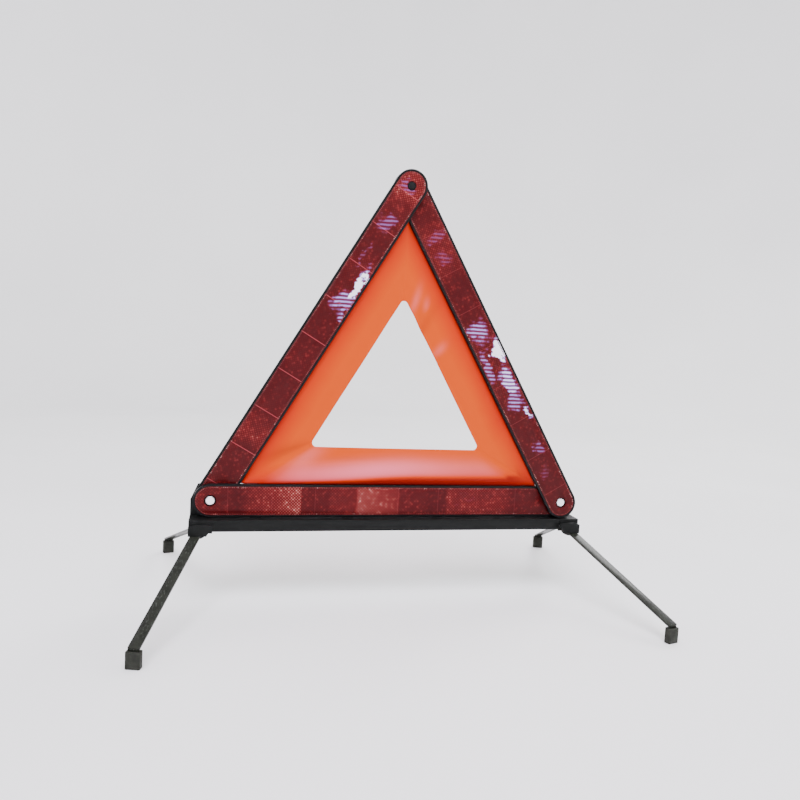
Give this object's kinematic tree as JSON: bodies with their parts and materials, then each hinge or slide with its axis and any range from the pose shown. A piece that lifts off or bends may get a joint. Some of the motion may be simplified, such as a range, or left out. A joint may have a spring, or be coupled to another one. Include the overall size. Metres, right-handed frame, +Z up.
{
  "type": "warning triangle",
  "caption": "Folding roadside warning triangle: red prismatic reflector arms, fluorescent orange panel with a triangular window, base rail and fold-out strip legs.",
  "frame": {"origin": "ground point midway between the feet", "axes": "X along the base rail, -Y towards the traffic that sees the triangle, Z up"},
  "size_m": [0.5144, 0.3306, 0.4634],
  "materials": {
    "tray_plastic": "satin black moulded plastic",
    "rail_plastic": "satin black moulded plastic",
    "strip_plastic": "matte black plastic",
    "stud_plastic": "satin black plastic",
    "reflector_acrylic": "deep red prismatic acrylic",
    "fluorescent_foil": "semi-gloss fluorescent orange film",
    "polished_rivet": "bright plated",
    "plated_steel": "zinc plated",
    "leg_steel": "dark satin lacquered steel strip",
    "shoe_rubber": "matte black rubber"
  },
  "bodies": {
    "base": {"base_rail": "rail_plastic", "left_housing": "rail_plastic", "right_housing": "rail_plastic", "bottom_tray": "tray_plastic", "bottom_lens": "reflector_acrylic", "bottom_foil_strip": "strip_plastic", "bottom_strip_rivets": "plated_steel", "left_pivot_rivet": "polished_rivet", "right_pivot_rivet": "polished_rivet", "pivot_washers": "plated_steel", "tray_screws": "plated_steel", "housing_screws": "plated_steel", "front_left_hub_disc": "rail_plastic", "front_right_hub_disc": "rail_plastic", "rear_left_hub_disc": "rail_plastic", "rear_right_hub_disc": "rail_plastic", "leg_pivot_rivets": "plated_steel", "leg_washers": "plated_steel", "foil": "fluorescent_foil"},
    "left_arm": {"left_tray": "tray_plastic", "left_lens": "reflector_acrylic", "left_foil_strip": "strip_plastic", "left_strip_rivets": "plated_steel"},
    "right_arm": {"right_tray": "tray_plastic", "right_lens": "reflector_acrylic", "right_foil_strip": "strip_plastic", "right_strip_rivets": "plated_steel", "top_stud": "stud_plastic"},
    "front_left_leg": {"front_left_leg": "leg_steel", "front_left_shoe": "shoe_rubber"},
    "front_right_leg": {"front_right_leg": "leg_steel", "front_right_shoe": "shoe_rubber"},
    "rear_left_leg": {"rear_left_leg": "leg_steel", "rear_left_shoe": "shoe_rubber"},
    "rear_right_leg": {"rear_right_leg": "leg_steel", "rear_right_shoe": "shoe_rubber"}
  },
  "joints": [
    {"name": "left_fold", "type": "hinge", "parent": "base", "child": "left_arm", "pos_m": [-0.1975, 0.0069, 0.104], "axis": [-0.0133, 0.9996, 0.0231], "range_deg": [0, 60], "deforming": ["foil", "left_tray", "left_lens", "left_foil_strip", "left_strip_rivets"]},
    {"name": "right_fold", "type": "hinge", "parent": "base", "child": "right_arm", "pos_m": [0.1975, -0.0069, 0.104], "axis": [-0.0133, 0.9996, -0.0231], "range_deg": [-60, 0]},
    {"name": "front_left_leg_fold", "type": "hinge", "parent": "base", "child": "front_left_leg", "pos_m": [-0.2085, -0.0097, 0.0728], "axis": [0, -0.3447, 0.9387], "range_deg": [0, 104.6]},
    {"name": "front_right_leg_fold", "type": "hinge", "parent": "base", "child": "front_right_leg", "pos_m": [0.2085, -0.0097, 0.0728], "axis": [0, -0.3447, 0.9387], "range_deg": [-104.6, 0]},
    {"name": "rear_left_leg_fold", "type": "hinge", "parent": "base", "child": "rear_left_leg", "pos_m": [-0.2085, 0.0097, 0.0728], "axis": [0, 0.3447, 0.9387], "range_deg": [-104.6, 0]},
    {"name": "rear_right_leg_fold", "type": "hinge", "parent": "base", "child": "rear_right_leg", "pos_m": [0.2085, 0.0097, 0.0728], "axis": [0, 0.3447, 0.9387], "range_deg": [0, 104.6]}
  ],
  "couplings": [
    {"joint": "right_fold", "follows": "left_fold", "ratio": -1}
  ]
}
